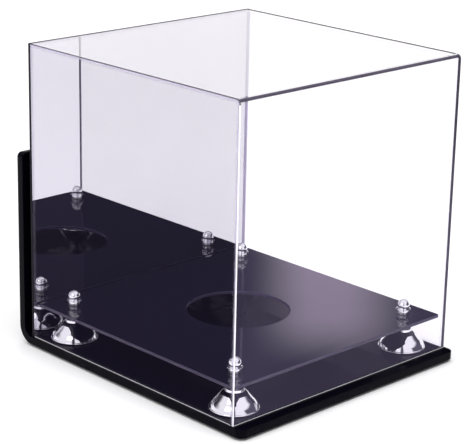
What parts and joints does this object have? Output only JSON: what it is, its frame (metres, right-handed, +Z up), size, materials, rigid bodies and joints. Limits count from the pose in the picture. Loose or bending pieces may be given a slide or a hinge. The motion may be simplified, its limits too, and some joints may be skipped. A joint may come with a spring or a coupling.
{
  "type": "wall-mount ball display case",
  "caption": "Clear lift-off cover with a mirror back on a bent glossy black base and wall plate, with a raised round-seat platform on chrome risers for a full-size ball.",
  "frame": {"origin": "below the middle of the base, on the surface that the pads stand on", "axes": "+Z up; the front faces -Y and the wall plate's back faces +Y; the object's left, seen from the front, is -X"},
  "size_m": [0.286, 0.311, 0.299],
  "materials": {
    "clear_acrylic": "polished",
    "mirror_acrylic": null,
    "black_acrylic": "polished",
    "chrome": "polished",
    "rubber": "matte",
    "zinc_steel": "satin"
  },
  "bodies": {
    "base": {"wall_bracket": "black_acrylic", "display_platform": "black_acrylic", "foot_pad_front_left": "rubber", "foot_pad_front_right": "rubber", "foot_pad_back_left": "rubber", "foot_pad_back_right": "rubber", "riser_bell_front_left": "chrome", "riser_bell_front_right": "chrome", "riser_bell_back_left": "chrome", "riser_bell_back_right": "chrome", "riser_neck_front_left": "chrome", "riser_neck_front_right": "chrome", "riser_neck_back_left": "chrome", "riser_neck_back_right": "chrome", "riser_washer_front_left": "rubber", "riser_washer_front_right": "rubber", "riser_washer_back_left": "rubber", "riser_washer_back_right": "rubber", "riser_screw_front_left": "zinc_steel", "riser_screw_front_right": "zinc_steel", "riser_screw_back_left": "zinc_steel", "riser_screw_back_right": "zinc_steel"},
    "cover": {"cover_front_top": "clear_acrylic", "cover_left_side": "clear_acrylic", "cover_right_side": "clear_acrylic", "cover_mirror_back": "mirror_acrylic"},
    "finial_front_left": {"riser_finial_front_left": "chrome"},
    "finial_front_right": {"riser_finial_front_right": "chrome"},
    "finial_back_left": {"riser_finial_back_left": "chrome"},
    "finial_back_right": {"riser_finial_back_right": "chrome"}
  },
  "joints": [
    {"name": "cover_lift", "type": "slide", "parent": "base", "child": "cover", "axis": [0, 0, 1], "range_m": [0, 0.32]},
    {"name": "finial_turn_front_left", "type": "hinge", "parent": "base", "child": "finial_front_left", "pos_m": [-0.112, -0.1145, 0.0441], "axis": [0, 0, 1], "range_deg": [0, 360]},
    {"name": "finial_turn_front_right", "type": "hinge", "parent": "base", "child": "finial_front_right", "pos_m": [0.112, -0.1145, 0.0441], "axis": [0, 0, 1], "range_deg": [0, 360]},
    {"name": "finial_turn_back_left", "type": "hinge", "parent": "base", "child": "finial_back_left", "pos_m": [-0.112, 0.1095, 0.0441], "axis": [0, 0, 1], "range_deg": [0, 360]},
    {"name": "finial_turn_back_right", "type": "hinge", "parent": "base", "child": "finial_back_right", "pos_m": [0.112, 0.1095, 0.0441], "axis": [0, 0, 1], "range_deg": [0, 360]}
  ]
}
